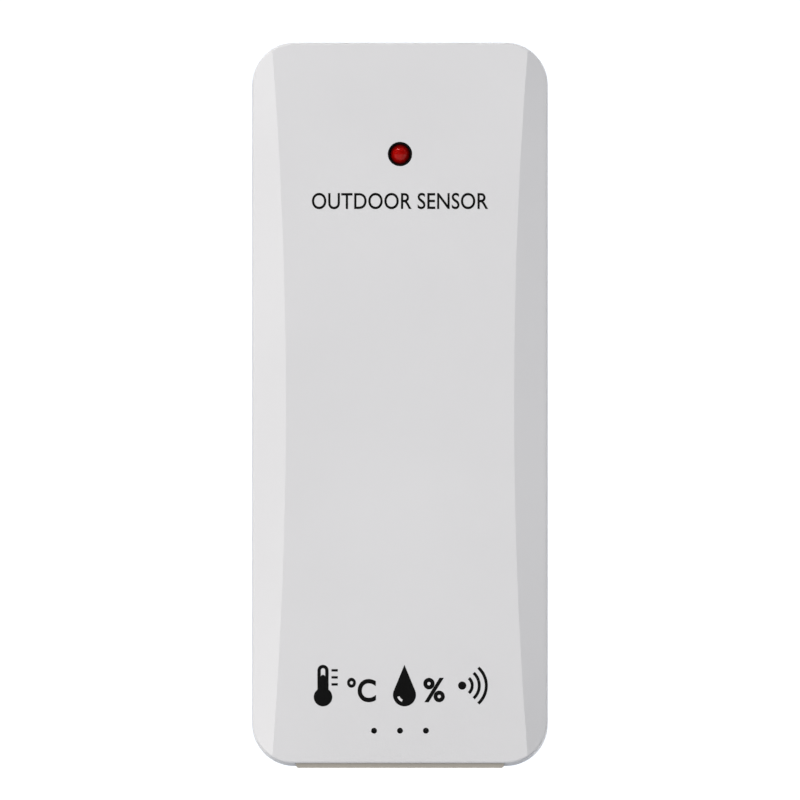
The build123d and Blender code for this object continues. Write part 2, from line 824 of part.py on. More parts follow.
with BuildPart() as controller_pins:
    pin_y = board_front_y - chip_standoff - chip_size[1] / 2
    for side in (-1, 1):
        for i in range(chip_pin_count):
            pin_z = chip_z + (i - (chip_pin_count - 1) / 2) * chip_pin_pitch
            root_x = chip_x + side * chip_size[0] / 2
            knee_x = root_x + side * chip_pin_reach / 2
            foot_x = root_x + side * chip_pin_reach
            pin_heights = (pin_z - chip_pin_width / 2, pin_z + chip_pin_width / 2)
            span(sorted((root_x, knee_x)), (pin_y, pin_y + chip_pin_thickness), pin_heights)
            span(
                sorted((knee_x, knee_x - side * chip_pin_thickness)),
                (pin_y, board_front_y),
                pin_heights,
            )
            span(
                sorted((knee_x, foot_x)),
                (board_front_y - chip_pin_thickness, board_front_y),
                pin_heights,
            )
save(controller_pins, "controller_pins")

with BuildPart() as clock_crystal:
    clock_x, clock_z = clock_offset[0], board_bottom + clock_offset[1]
    with BuildSketch(Plane.XY.offset(clock_z)):
        with Locations((clock_x, board_front_y - clock_radius - small_part_gap)):
            Circle(clock_radius)
    extrude(amount=clock_length)
save(clock_crystal, "clock_crystal")

# Small surface-mounted parts on the front of the board
with BuildPart() as chip_resistors:
    for x, z in resistor_places:
        with Locations((x, board_front_y - small_part_size[1] / 2, board_bottom + z)):
            Box(*small_part_size)
save(chip_resistors, "chip_resistors")

with BuildPart() as chip_capacitors:
    for x, z in ceramic_places:
        with Locations((x, board_front_y - small_part_size[1] / 2, board_bottom + z)):
            Box(*small_part_size)
save(chip_capacitors, "chip_capacitors")

# Smoothing capacitor, a round can with a rolled neck, standing behind the board
with BuildPart() as smoothing_capacitor:
    capacitor_end_y = board_back_y + capacitor_height
    rods([(capacitor_offset, capacitor_z)], capacitor_radius, (board_back_y, capacitor_end_y))
    fillet(smoothing_capacitor.faces().sort_by(Axis.Y)[-1].edges(), small_edge_round)
    with BuildSketch(Plane.XY.offset(capacitor_z)):
        with Locations((capacitor_offset + capacitor_radius, board_back_y + capacitor_neck)):
            Circle(lead_radius)
    revolve(axis=Axis((capacitor_offset, 0, capacitor_z), (0, 1, 0)), mode=Mode.SUBTRACT)
save(smoothing_capacitor, "smoothing_capacitor")

with BuildPart() as capacitor_leads:
    rods(capacitor_places, lead_radius, (board_front_y - lead_end, board_back_y))
save(capacitor_leads, "capacitor_leads")

# Radio module: a small board on header pins, with its chip, crystal and sprung aerial
with BuildPart() as radio_board:
    span(
        (radio_offset - radio_width / 2, radio_offset + radio_width / 2),
        (radio_front_y, radio_back_y),
        (radio_top - radio_height, radio_top),
    )
    radio_through = (radio_front_y, radio_back_y)
    rods(radio_pin_places, lead_radius + lead_hole_gap, radio_through, mode=Mode.SUBTRACT)
save(radio_board, "radio_board")

with BuildPart() as radio_pins:
    rods(radio_pin_places, lead_radius, (board_front_y - lead_end, radio_back_y + lead_end))
save(radio_pins, "radio_pins")

radio_part_z = radio_mid + radio_part_rise
with BuildPart() as radio_chip:
    radio_chip_x = radio_offset - radio_part_offset
    with Locations((radio_chip_x, radio_back_y + radio_chip_size[1] / 2, radio_part_z)):
        Box(*radio_chip_size)
save(radio_chip, "radio_chip")

with BuildPart() as radio_crystal:
    radio_crystal_x = radio_offset + radio_part_offset
    with Locations((radio_crystal_x, radio_back_y + radio_crystal_size[1] / 2, radio_part_z)):
        Box(*radio_crystal_size)
    fillet(radio_crystal.edges().filter_by(Axis.Y), small_edge_round)
save(radio_crystal, "radio_crystal")

# The aerial's turns are stood for by a thin sleeve of their outer size, open at both ends
with BuildPart() as antenna_coil:
    with BuildSketch(Plane.YZ.offset(-coil_length / 2)):
        with Locations((coil_y, coil_z)):
            Circle(coil_radius)
            Circle(coil_radius - coil_wire, mode=Mode.SUBTRACT)
    extrude(amount=coil_length)
    coil_lead_x = -coil_length / 2 + coil_wire
    with BuildSketch(Plane.XY.offset(radio_top)):
        with Locations((coil_lead_x, radio_back_y - radio_thickness / 2)):
            Circle(coil_wire / 2)
    extrude(amount=coil_z - coil_radius + coil_wire / 2 - radio_top)
save(antenna_coil, "antenna_coil")

# Humidity element: a flat perforated case behind the air holes, on two bent leads
with BuildPart() as humidity_element:
    humidity_half = humidity_size[0] / 2
    humidity_back_y = humidity_front_y + humidity_size[1]
    span(
        (-humidity_half, humidity_half),
        (humidity_front_y, humidity_back_y),
        (humidity_bottom, humidity_top),
    )
    fillet(humidity_element.edges().filter_by(Axis.Y), small_edge_round)
    grille_half = humidity_half - humidity_grille_margin
    bar_pitch = humidity_size[2] / (humidity_grille_bars + 1)
    for i in range(humidity_grille_bars):
        bar_z = humidity_bottom + (i + 1) * bar_pitch
        span(
            (-grille_half, grille_half),
            (humidity_front_y - cutter_margin, humidity_front_y + humidity_grille_depth),
            (bar_z - bar_pitch / 4, bar_z + bar_pitch / 4),
            mode=Mode.SUBTRACT,
        )
save(humidity_element, "humidity_element")


def bent_leads(places, start_y, start_z):
    """Leads that rise from a part below the board's edge and turn back through the board."""
    for x, z in places:
        with BuildLine(Plane.YZ.offset(x)) as route:
            FilletPolyline((start_y, start_z), (start_y, z), (board_back_y + lead_end, z), radius=lead_bend)
        with BuildSketch(Plane.XY.offset(start_z)) as section:
            with Locations((x, start_y)):
                Circle(lead_radius)
        sweep(sections=section.sketch, path=route.wires()[0])


with BuildPart() as humidity_leads:
    bent_leads(humidity_places, humidity_mid_y, humidity_top)
save(humidity_leads, "humidity_leads")

with BuildPart() as thermistor:
    with Locations((thermistor_offset, humidity_mid_y, thermistor_z)):
        Sphere(thermistor_radius)
    with BuildSketch(Plane.XY.offset(thermistor_z)):
        with Locations((thermistor_offset, humidity_mid_y)):
            Circle(thermistor_radius)
    extrude(amount=thermistor_radius, taper=thermistor_taper)
save(thermistor, "thermistor")

with BuildPart() as thermistor_leads:
    bent_leads(thermistor_places, humidity_mid_y, thermistor_z + thermistor_radius)
save(thermistor_leads, "thermistor_leads")

# Push button: its body has a well that the cap slides in
with BuildPart() as button_body:
    body_half = button_body_size / 2
    span(
        (switch_offset - body_half, switch_offset + body_half),
        (board_back_y, switch_top_y),
        (switch_z - body_half, switch_z + body_half),
    )
    chamfer(button_body.edges().filter_by(Axis.Y), switch_bevel)
    well = (well_floor_y, switch_top_y + cutter_margin)
    rods([(switch_offset, switch_z)], button_radius + 2 * pin_clearance, well, mode=Mode.SUBTRACT)
save(button_body, "button_body")

with BuildPart() as button_cap:
    cap_back_y = switch_bay_y + button_proud
    cap_front_y = well_floor_y + button_travel + button_well_gap
    rods([(switch_offset, switch_z)], button_radius, (cap_front_y, cap_back_y))
    chamfer(button_cap.faces().sort_by(Axis.Y)[-1].edges(), button_bevel)
save(button_cap, "button_cap")

# Channel switch: the slider stands in the left end of its slot, on the first of three channels
with BuildPart() as channel_switch:
    span(
        (-switch_offset - slider_body_width / 2, -switch_offset + slider_body_width / 2),
        (board_back_y, switch_top_y),
        (switch_z - slider_body_height / 2, switch_z + slider_body_height / 2),
    )
    span(
        (-switch_offset - slider_slot / 2, -switch_offset + slider_slot / 2),
        (well_floor_y, switch_top_y + cutter_margin),
        (switch_z - slider_slot_half, switch_z + slider_slot_half),
        mode=Mode.SUBTRACT,
    )
save(channel_switch, "channel_switch")

with BuildPart() as channel_slider:
    span(
        (slider_rest_x - slider_width / 2, slider_rest_x + slider_width / 2),
        (well_floor_y + slider_gap, switch_bay_y + slider_proud),
        (switch_z - slider_height / 2, switch_z + slider_height / 2),
    )
    chamfer(channel_slider.faces().sort_by(Axis.Y)[-1].edges(), slider_bevel)
save(channel_slider, "channel_slider")

with BuildPart() as switch_pins:
    rods(button_pin_places + slider_pin_places, lead_radius, (board_front_y - lead_end, board_back_y))
save(switch_pins, "switch_pins")


def cell(side, nub_up):
    """One AAA cell upright in its half of the bay, with the nub against its flat contact."""
    can_length = cell_length - cell_nub_height
    low = bay_bottom + plate_thickness + (spring_length if nub_up else cell_nub_height)
    nub_low = low + can_length if nub_up else low - cell_nub_height
    with BuildPart() as body:
        with BuildSketch(Plane.XY.offset(low)):
            with Locations((side * cell_x, cell_y)):
                Circle(cell_radius)
        extrude(amount=can_length)
        fillet(body.edges().filter_by(GeomType.CIRCLE), cell_edge_round)
        with BuildSketch(Plane.XY.offset(nub_low)):
            with Locations((side * cell_x, cell_y)):
                Circle(cell_nub_radius)
        extrude(amount=cell_nub_height)
    return body


def spring(side, low, high_radius, low_radius):
    """The space of a conical contact spring, as a thin open cone of its outer size."""
    with BuildPart() as cone:
        for inset, mode in ((0, Mode.ADD), (spring_wire, Mode.SUBTRACT)):
            with BuildSketch(Plane.XY.offset(low)):
                with Locations((side * cell_x, cell_y)):
                    Circle(low_radius - inset)
            with BuildSketch(Plane.XY.offset(low + spring_length)):
                with Locations((side * cell_x, cell_y)):
                    Circle(high_radius - inset)
            loft(mode=mode)
    return cone


left_cell = cell(-1, nub_up=True)
save(left_cell, "left_cell")
right_cell = cell(1, nub_up=False)
save(right_cell, "right_cell")
left_spring = spring(-1, bay_bottom + plate_thickness, spring_tip_radius, spring_base_radius)
save(left_spring, "left_spring")
right_spring = spring(1, bay_top - plate_thickness - spring_length, spring_base_radius, spring_tip_radius)
save(right_spring, "right_spring")

# Contact plates: one links the cells at the bottom, two at the top have tails soldered to the board
with BuildPart() as link_plate:
    link_half = cell_x + plate_half
    span(
        (-link_half, link_half),
        (cell_y - plate_half, cell_y + plate_half),
        (bay_bottom, bay_bottom + plate_thickness),
    )
save(link_plate, "link_plate")


def top_plate(side):
    """A contact plate at the bay's top end, with a tail that passes through the board."""
    with BuildPart() as plate:
        heights = (bay_top - plate_thickness, bay_top)
        middle = side * cell_x
        depths = (cell_y - plate_half, cell_y + plate_half)
        span((middle - plate_half, middle + plate_half), depths, heights)
        span(
            (middle - tail_width / 2, middle + tail_width / 2),
            (board_front_y - lead_end, cell_y - plate_half),
            heights,
        )
    return plate


positive_plate = top_plate(-1)
save(positive_plate, "positive_plate")
negative_plate = top_plate(1)
save(negative_plate, "negative_plate")
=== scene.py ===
import json
import math

import bmesh
import bpy
import numpy as np
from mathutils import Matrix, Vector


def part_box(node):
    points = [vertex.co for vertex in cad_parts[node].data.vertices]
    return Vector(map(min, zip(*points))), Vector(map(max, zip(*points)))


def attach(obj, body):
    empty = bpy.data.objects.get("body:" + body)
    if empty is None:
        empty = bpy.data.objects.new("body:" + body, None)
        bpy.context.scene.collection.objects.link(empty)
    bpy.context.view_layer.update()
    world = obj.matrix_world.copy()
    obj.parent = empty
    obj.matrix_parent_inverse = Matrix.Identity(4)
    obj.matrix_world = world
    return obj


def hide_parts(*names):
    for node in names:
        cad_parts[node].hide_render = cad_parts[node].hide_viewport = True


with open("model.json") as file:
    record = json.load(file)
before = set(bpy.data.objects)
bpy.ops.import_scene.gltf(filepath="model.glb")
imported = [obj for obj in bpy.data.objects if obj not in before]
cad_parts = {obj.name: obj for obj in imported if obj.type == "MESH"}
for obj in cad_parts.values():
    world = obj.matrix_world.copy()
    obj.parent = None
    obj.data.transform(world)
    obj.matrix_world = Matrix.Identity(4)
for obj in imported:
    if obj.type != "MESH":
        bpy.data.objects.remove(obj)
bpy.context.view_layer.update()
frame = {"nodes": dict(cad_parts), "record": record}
cadNodes = frame["nodes"]
mm = 0.001
print("frame loaded,", len(cadNodes), "nodes")


def boxOf(node):  # lowest and highest corner of a node, in millimetres
    low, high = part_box(node)
    return np.array(low) / mm, np.array(high) / mm


def linearColor(hexCode):  # sRGB hex to linear red, green, blue and alpha
    channels = np.array([int(hexCode[i:i + 2], 16) for i in (1, 3, 5)]) / 255
    curved = ((channels + 0.055) / 1.055) ** 2.4
    linear = np.where(channels <= 0.04045, channels / 12.92, curved)
    return (*linear.tolist(), 1.0)


def addNode(tree, kind, settings=None, links=None):
    # settings are input values by name or number, or the node's own options; links are (node, output)
    node = tree.nodes.new(kind)
    for key, value in (settings or {}).items():
        if isinstance(key, int) or key in node.inputs:
            node.inputs[key].default_value = value
        else:
            setattr(node, key, value)
    for key, (source, output) in (links or {}).items():
        tree.links.new(source.outputs[output], node.inputs[key])
    return node


def newMaterial(name):  # a material with its tree, its main shader and object coordinates in millimetres
    material = bpy.data.materials.new(name)
    material.use_nodes = True
    tree = material.node_tree
    shader = tree.nodes["Principled BSDF"]
    place = addNode(tree, "ShaderNodeTexCoord")
    toMillimetres = {"Scale": (1 / mm, 1 / mm, 1 / mm)}
    scale = addNode(tree, "ShaderNodeMapping", toMillimetres, {"Vector": (place, "Object")})
    return material, tree, shader, scale


def noise(tree, vector, feature, detail=2.0, roughness=0.5):  # feature is the spots' size in millimetres
    settings = {"Scale": 1 / feature, "Detail": detail, "Roughness": roughness}
    return addNode(tree, "ShaderNodeTexNoise", settings, {"Vector": vector})


def mixColors(tree, factor, first, second):  # first and second are hex codes or (node, output)
    node = addNode(tree, "ShaderNodeMix", {"data_type": "RGBA"}, {0: factor})
    for socket, value in ((6, first), (7, second)):
        if isinstance(value, str):
            node.inputs[socket].default_value = linearColor(value)
        else:
            tree.links.new(value[0].outputs[value[1]], node.inputs[socket])
    return node, 2


def rangeOf(tree, source, low, high, fromLow=0.3, fromHigh=0.7):
    settings = {"From Min": fromLow, "From Max": fromHigh, "To Min": low, "To Max": high}
    return addNode(tree, "ShaderNodeMapRange", settings, {"Value": source}), "Result"


def setShader(tree, shader, settings, links):
    for key, value in settings.items():
        shader.inputs[key].default_value = value
    for key, (source, output) in links.items():
        tree.links.new(source.outputs[output], shader.inputs[key])


def makeMesh(name, points, faces, material, smooth=True):  # points in millimetres, faces as rows of corners
    mesh = bpy.data.meshes.new(name)
    mesh.from_pydata((np.asarray(points) * mm).tolist(), [], [list(f) for f in faces])
    mesh.materials.append(material)
    mesh.polygons.foreach_set("use_smooth", np.full(len(mesh.polygons), smooth))
    mesh.update()
    piece = bpy.data.objects.new(name, mesh)
    bpy.context.scene.collection.objects.link(piece)
    return piece


def gridFaces(rows, columns, closeRows=False, closeColumns=False):  # quads over a grid of points
    i = np.arange(rows if closeRows else rows - 1)[:, None]
    j = np.arange(columns if closeColumns else columns - 1)[None, :]
    iNext, jNext = (i + 1) % rows, (j + 1) % columns
    corners = [i * columns + j, i * columns + jNext, iNext * columns + jNext, iNext * columns + j]
    return np.stack(np.broadcast_arrays(*corners), axis=-1).reshape(-1, 4)


def revolved(name, profile, centre, material, segments, closed=False):
    # each profile point (radius, height) goes round the axis: x = r cos a, y = r sin a, z = height.
    # An open profile runs from pole to pole, upwards; a closed one is a ring's section, anticlockwise.
    profile = np.asarray(profile, float)
    angles = np.linspace(0, 2 * math.pi, segments, endpoint=False)
    rings = profile if closed else profile[1:-1]
    points = np.stack([
        rings[:, :1] * np.cos(angles),
        rings[:, :1] * np.sin(angles),
        np.repeat(rings[:, 1:], segments, axis=1),
    ], axis=-1).reshape(-1, 3)
    faces = [tuple(f) for f in gridFaces(len(rings), segments, closeRows=closed, closeColumns=True)]
    if not closed:
        poles = np.array([[0, 0, profile[0, 1]], [0, 0, profile[-1, 1]]])
        points = np.concatenate([points, poles])
        first, last = len(points) - 2, len(points) - 1
        j = np.arange(segments)
        jNext = (j + 1) % segments
        top = (len(rings) - 1) * segments
        faces += [tuple(f) for f in np.stack([np.full(segments, first), jNext, j], axis=1)]
        faces += [tuple(f) for f in np.stack([np.full(segments, last), top + j, top + jNext], axis=1)]
    return makeMesh(name, points + np.asarray(centre), faces, material)


def tube(name, path, radius, material, reference=(0, 0, 1), sides=12):
    # a round section carried along the path; each ring stands square to the path's direction
    path = np.asarray(path, float)
    ahead = np.gradient(path, axis=0)
    ahead /= np.linalg.norm(ahead, axis=1, keepdims=True)
    across = np.cross(ahead, np.asarray(reference, float))
    across /= np.linalg.norm(across, axis=1, keepdims=True)
    up = np.cross(across, ahead)
    angles = np.linspace(0, 2 * math.pi, sides, endpoint=False)[None, :, None]
    ring = across[:, None, :] * np.cos(angles) + up[:, None, :] * np.sin(angles)
    points = (path[:, None, :] + radius * ring).reshape(-1, 3)
    count = len(path)
    faces = [tuple(f[::-1]) for f in gridFaces(count, sides, closeColumns=True)]
    start, end = tuple(range(sides)), tuple(range((count - 1) * sides, count * sides))
    faces += [start, end[::-1]]
    piece = makeMesh(name, points, faces, material)
    fixNormals(piece)
    return piece


def fixNormals(piece):
    shape = bmesh.new()
    shape.from_mesh(piece.data)
    bmesh.ops.remove_doubles(shape, verts=shape.verts, dist=1e-7)
    bmesh.ops.recalc_face_normals(shape, faces=shape.faces)
    shape.to_mesh(piece.data)
    shape.free()


def meshPoints(piece):  # an object's points in millimetres, as rows
    flat = np.empty(len(piece.data.vertices) * 3)
    piece.data.vertices.foreach_get("co", flat)
    return flat.reshape(-1, 3) / mm


def movePoints(piece, points):
    piece.data.vertices.foreach_set("co", (np.asarray(points) * mm).ravel())
    piece.data.update()


def mouldedPlastic(name, look):
    # Injection-moulded thermoplastic from a spark-eroded tool: an even tone with faint flow clouds,
    # a fine pitted grain that breaks up the gloss, and painted shade darkening it where surfaces meet.
    material, tree, shader, scale = newMaterial(name)
    place = (scale, "Vector")
    clouds = noise(tree, place, look["cloud"], 3.0)
    tone = mixColors(tree, rangeOf(tree, (clouds, 0), 0, 1), look["color"], look["shade"])
    # Painted shade: ambient occlusion darkens the colour towards the shade colour in corners, seams and gaps.
    corners = addNode(tree, "ShaderNodeAmbientOcclusion", {"samples": 4, "Distance": look["creviceShadeReach"] * mm})
    creviceShade = rangeOf(tree, (corners, "AO"), 1 - look["creviceShade"], 1, 0.2, 0.9)
    creviceShaded = mixColors(tree, creviceShade, look["creviceShadeColor"], tone)
    grain = noise(tree, place, look["grain"], 2.0, 0.6)
    pits = addNode(tree, "ShaderNodeTexVoronoi", {"Scale": 1 / (1.6 * look["grain"])}, {"Vector": place})
    relief = addNode(tree, "ShaderNodeMath", {"operation": "ADD"}, {0: (grain, 0), 1: (pits, "Distance")})
    bump = addNode(tree, "ShaderNodeBump", {"Strength": look["relief"], "Distance": look["depth"] * mm},
                   {"Height": (relief, 0)})
    patches = noise(tree, place, look["patch"], 4.0, 0.65)
    gloss = rangeOf(tree, (patches, 0), look["roughness"][0], look["roughness"][1])
    setShader(tree, shader, {"IOR": look["ior"], "Specular IOR Level": look["specular"]},
              {"Base Color": creviceShaded, "Roughness": gloss, "Normal": (bump, "Normal")})
    return material


whiteAbsLook = {
    "color": "#E5E5E8", "shade": "#E1E1E4", "cloud": 26.0, "grain": 0.22, "depth": 0.02, "relief": 0.25,
    # painted shade where surfaces meet: its strength, reach in millimetres and colour are the last three keys
    "patch": 6.0, "roughness": (0.40, 0.50), "ior": 1.53, "specular": 0.5, "creviceShade": 0.45, "creviceShadeReach": 0.5,
    "creviceShadeColor": "#8C887E",
}
# The stand's plastic: a darker, warmer copy of the white plastic, its tone painted shade for the stand's front
# edge lying in shade under the cover; its last colour is the painted shade where surfaces meet.
shadedStandAbsLook = dict(whiteAbsLook, color="#ADA8A0", shade="#A9A49C", roughness=(0.45, 0.58),
                   creviceShadeColor="#5E5A52")
whiteAbs = mouldedPlastic("whiteAbsSparkEroded", whiteAbsLook)
shadedStandAbs = mouldedPlastic("shadedStandAbsSparkEroded", shadedStandAbsLook)
# Each copy below also gives its own colour for the painted shade where surfaces meet.
# Acetal (POM) switch parts: denser and waxier than ABS, with a polished tool's finish
blackPom = mouldedPlastic("blackPomMoulded", dict(whiteAbsLook, color="#26262A", shade="#202023", grain=0.3,
                                                  relief=0.12, roughness=(0.3, 0.42), creviceShadeColor="#3A3834"))
redPom = mouldedPlastic("redPomMoulded", dict(whiteAbsLook, color="#A8261C", shade="#9C2118", grain=0.3,
                                              relief=0.12, roughness=(0.28, 0.4), creviceShadeColor="#4A1410"))
# Glass-filled epoxy of a chip's body: near black, matt and slightly coarse
chipEpoxy = mouldedPlastic("blackEpoxyTransferMoulded", dict(whiteAbsLook, color="#2B2B2D", shade="#242426",
                                                             grain=0.12, relief=0.4, roughness=(0.55, 0.7),
                                                             creviceShadeColor="#191817"))


def platedMetal(name, look):
    # Drawn or stamped metal with a thin plating: fine drawing lines, cloudy gloss and a few dull spots.
    material, tree, shader, scale = newMaterial(name)
    stretch = addNode(tree, "ShaderNodeMapping", {"Scale": look["lines"]}, {"Vector": (scale, "Vector")})
    lines = noise(tree, (stretch, "Vector"), 0.2, 3.0, 0.6)
    clouds = noise(tree, (scale, "Vector"), look["cloud"], 4.0, 0.6)
    tone = mixColors(tree, rangeOf(tree, (clouds, 0), 0, 1, 0.35, 0.75), look["color"], look["shade"])
    gloss = rangeOf(tree, (clouds, 0), look["roughness"][0], look["roughness"][1])
    bump = addNode(tree, "ShaderNodeBump", {"Strength": look["relief"], "Distance": 0.01 * mm},
                   {"Height": (lines, 0)})
    setShader(tree, shader, {"Metallic": 1.0},
              {"Base Color": tone, "Roughness": gloss, "Normal": (bump, "Normal")})
    return material


nickelLook = {"color": "#CFC9BC", "shade": "#B4AD9E", "cloud": 1.5, "lines": (1, 1, 0.15), "relief": 0.3,
              "roughness": (0.18, 0.34)}
nickelSteel = platedMetal("springSteelNickelPlated", nickelLook)
nickelSheet = platedMetal("steelSheetNickelPlated", dict(nickelLook, lines=(0.12, 1, 1),
                                                         roughness=(0.22, 0.4)))
zincSteel = platedMetal("steelZincPlated", dict(nickelLook, color="#BFC1C2", shade="#989A9A", cloud=0.8,
                                                roughness=(0.28, 0.5)))
tinnedCopper = platedMetal("copperWireTinned", dict(nickelLook, color="#D3D3D0", shade="#B5B5B0", cloud=0.5))
steelCan = platedMetal("steelCanDrawn", dict(nickelLook, color="#C6C7C6", shade="#AEB0AF", cloud=2.0,
                                             lines=(1, 0.15, 1), roughness=(0.2, 0.32)))
enamelledCopper = platedMetal("copperWireEnamelled", dict(nickelLook, color="#B8683A", shade="#9B4F29",
                                                          cloud=0.7, roughness=(0.14, 0.25)))


def solderMaskBoard(name, look):
    # FR4 laminate under green solder mask: tracks show through as lighter, slightly raised runs,
    # with the glass weave as a faint grid.
    material, tree, shader, scale = newMaterial(name)
    place = (scale, "Vector")
    flat = addNode(tree, "ShaderNodeMapping", {"Rotation": (math.radians(90), 0, 0)}, {"Vector": place})
    tracks = addNode(tree, "ShaderNodeTexBrick", {
        "Scale": 1.0, "Brick Width": look["trackRun"], "Row Height": look["trackPitch"], "Mortar Size": 0.14,
        "Mortar Smooth": 0.2, "offset": 0.37, "squash": 1.6, "squash_frequency": 3,
    }, {"Vector": (flat, "Vector")})
    weaveX = addNode(tree, "ShaderNodeTexWave", {"Scale": 1 / look["weave"], "bands_direction": "X"},
                     {"Vector": place})
    weaveZ = addNode(tree, "ShaderNodeTexWave", {"Scale": 1 / look["weave"], "bands_direction": "Z"},
                     {"Vector": place})
    weave = addNode(tree, "ShaderNodeMath", {"operation": "ADD"}, {0: (weaveX, 1), 1: (weaveZ, 1)})
    tone = mixColors(tree, (tracks, "Fac"), look["mask"], look["track"])
    cloudy = noise(tree, place, 4.0)
    shaded = mixColors(tree, rangeOf(tree, (cloudy, 0), 0, 0.35), tone, look["dark"])
    bumpWeave = addNode(tree, "ShaderNodeBump", {"Strength": 0.08, "Distance": 0.02 * mm},
                        {"Height": (weave, 0)})
    bump = addNode(tree, "ShaderNodeBump", {"Strength": 0.5, "Distance": 0.035 * mm},
                   {"Height": (tracks, "Fac"), "Normal": (bumpWeave, "Normal")})
    gloss = rangeOf(tree, (cloudy, 0), 0.22, 0.36)
    setShader(tree, shader, {"IOR": 1.55, "Coat Weight": 0.4, "Coat Roughness": 0.12},
              {"Base Color": shaded, "Roughness": gloss, "Normal": (bump, "Normal")})
    return material


boardGreen = solderMaskBoard("fr4GreenSolderMask", {
    "mask": "#0F5A2C", "track": "#2F8A47", "dark": "#0B4421", "trackRun": 7.0, "trackPitch": 1.27,
    "weave": 0.5,
})


def clearSkin(name, look):
    # A glossy skin over a coloured body, such as a printed film, a shrink sleeve or dipped epoxy.
    material, tree, shader, scale = newMaterial(name)
    ripples = noise(tree, (scale, "Vector"), look["ripple"], 2.0)
    specks = noise(tree, (scale, "Vector"), look["speck"], 3.0)
    tone = mixColors(tree, rangeOf(tree, (specks, 0), 0, 1), look["color"], look["shade"])
    bump = addNode(tree, "ShaderNodeBump", {"Strength": look["relief"], "Distance": 0.03 * mm},
                   {"Height": (ripples, 0)})
    gloss = rangeOf(tree, (specks, 0), look["roughness"][0], look["roughness"][1])
    setShader(tree, shader, {"IOR": look["ior"], "Coat Weight": look["coat"], "Coat Roughness": 0.08},
              {"Base Color": tone, "Roughness": gloss, "Normal": (bump, "Normal")})
    return material


skinLook = {"color": "#22252E", "shade": "#1B1E26", "ripple": 2.0, "speck": 0.6, "relief": 0.15,
            "roughness": (0.22, 0.34), "coat": 0.5, "ior": 1.5}
# The light's sleeve: matt and near black, painted shade for the dark gap round the light, so dark that only
# its rim shows against the white case
sleeveGapShade = clearSkin("sleeveGapShadeBlack", dict(skinLook, color="#070707", shade="#040404", coat=0.0, ior=1.3,
                                              roughness=(0.6, 0.75)))
capacitorSleeve = clearSkin("petSleeveShrunk", dict(skinLook, color="#1D2748", shade="#18203C"))
dippedEpoxy = clearSkin("epoxyDipped", dict(skinLook, color="#17181A", shade="#0F1011", ripple=0.8))
glazedResistor = clearSkin("aluminaGlazed", dict(skinLook, color="#202124", shade="#17181A", ripple=0.4))
firedCeramic = clearSkin("bariumTitanateFired", dict(skinLook, color="#A98257", shade="#96704A", ripple=0.4,
                                                     coat=0.1, roughness=(0.4, 0.55)))
washerPlastic = clearSkin("nylonWasher", dict(skinLook, color="#D8D5CC", shade="#CBC8BE", coat=0.1,
                                              roughness=(0.4, 0.5)))


def printInk(name, look):
    # Pad-printed ink: a dense, slightly uneven film, so full of pigment that it stays dark when lit.
    material, tree, shader, scale = newMaterial(name)
    blots = noise(tree, (scale, "Vector"), 0.35, 3.0, 0.6)
    tone = mixColors(tree, rangeOf(tree, (blots, 0), 0, 1, 0.35, 0.8), look["color"], look["thin"])
    bump = addNode(tree, "ShaderNodeBump", {"Strength": 0.2, "Distance": 0.01 * mm}, {"Height": (blots, 0)})
    gloss = rangeOf(tree, (blots, 0), 0.5, 0.65)
    setShader(tree, shader, {"IOR": 1.5, "Specular IOR Level": look["specular"]},
              {"Base Color": tone, "Roughness": gloss, "Normal": (bump, "Normal")})
    return material


blackInk = printInk("blackPadPrintInk", {"color": "#050505", "thin": "#0C0C0D", "specular": 0.12})
whiteInk = printInk("whiteFilmInk", {"color": "#D9D9D2", "thin": "#C4C4BC", "specular": 0.5})


def diffusedLens(name, look):
    # Red diffused epoxy: light goes in and scatters, deep red in the body, brighter where it is lit,
    # under a gloss that takes the red of the body just below it.
    material, tree, shader, scale = newMaterial(name)
    specks = noise(tree, (scale, "Vector"), 0.25, 3.0, 0.7)
    tone = mixColors(tree, rangeOf(tree, (specks, 0), 0, 1), look["color"], look["deep"])
    setShader(tree, shader, {
        "IOR": 1.54, "Roughness": look["roughness"], "Subsurface Weight": look["scatter"],
        "Subsurface Radius": (1.0, 0.08, 0.04), "Subsurface Scale": 0.5 * mm,
        "Specular IOR Level": look["specular"], "Specular Tint": linearColor(look["sheen"]),
    }, {"Base Color": tone})
    return material


redLens = diffusedLens("redEpoxyDiffused", {
    "color": "#B40A06", "deep": "#950603", "scatter": 0.25, "roughness": 0.12, "specular": 0.5,
    "sheen": "#FF9A95",
})


